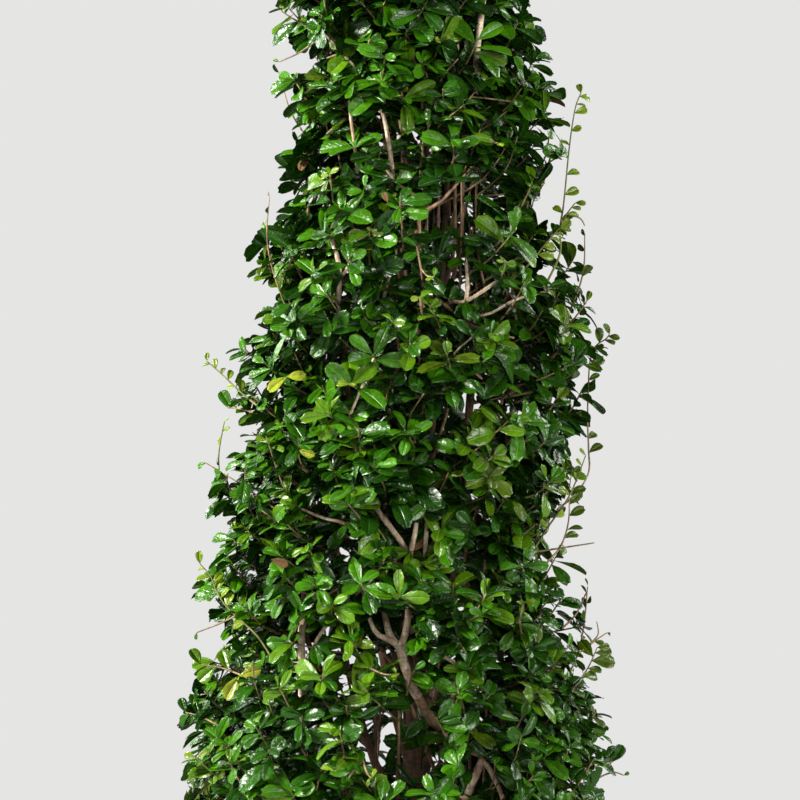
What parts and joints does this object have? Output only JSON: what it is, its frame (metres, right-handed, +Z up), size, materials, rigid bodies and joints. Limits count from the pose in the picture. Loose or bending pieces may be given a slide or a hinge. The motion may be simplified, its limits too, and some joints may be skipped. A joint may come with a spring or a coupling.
{
  "type": "potted topiary shrub",
  "caption": "Small-leaved evergreen shrub clipped to a tall narrow pyramid on one trunk with steep boughs, standing in a plain round tapered pot of soil.",
  "frame": {"origin": "centre of the pot's flat underside, where it rests on the ground", "axes": "+Z up through the pot, the trunk and the crown; -Y towards the viewer of the front; +X to the viewer's right"},
  "size_m": [0.4873, 0.4437, 1.8307],
  "materials": {
    "clay": "unglazed terracotta, matt",
    "earth": "moist dark potting soil, matt and granular",
    "bark": "grey-brown bark, finely ridged, matt",
    "foliage": "dark green leaves with a waxy gloss, on thin brown twigs"
  },
  "bodies": {
    "root": {"pot": "clay", "soil": "earth", "trunk": "bark", "bough_skirt_right_back": "bark", "bough_skirt_left_back": "bark", "bough_skirt_left_front": "bark", "bough_skirt_right_front": "bark", "bough_lower_right": "bark", "bough_lower_back": "bark", "bough_lower_left": "bark", "bough_lower_front": "bark", "bough_middle_right": "bark", "bough_middle_back": "bark", "bough_middle_left": "bark", "bough_middle_front": "bark", "bough_upper_right": "bark", "bough_upper_left": "bark", "bough_upper_front": "bark", "bough_high_right": "bark", "bough_high_left": "bark", "bough_high_front": "bark", "foliage_skirt_right_back": "foliage", "foliage_skirt_left_back": "foliage", "foliage_skirt_left_front": "foliage", "foliage_skirt_right_front": "foliage", "foliage_lower_right": "foliage", "foliage_lower_back": "foliage", "foliage_lower_left": "foliage", "foliage_lower_front": "foliage", "foliage_middle_right": "foliage", "foliage_middle_back": "foliage", "foliage_middle_left": "foliage", "foliage_middle_front": "foliage", "foliage_upper_right": "foliage", "foliage_upper_left": "foliage", "foliage_upper_front": "foliage", "foliage_high_right": "foliage", "foliage_high_left": "foliage", "foliage_high_front": "foliage", "foliage_top_crown": "foliage"}
  },
  "joints": []
}
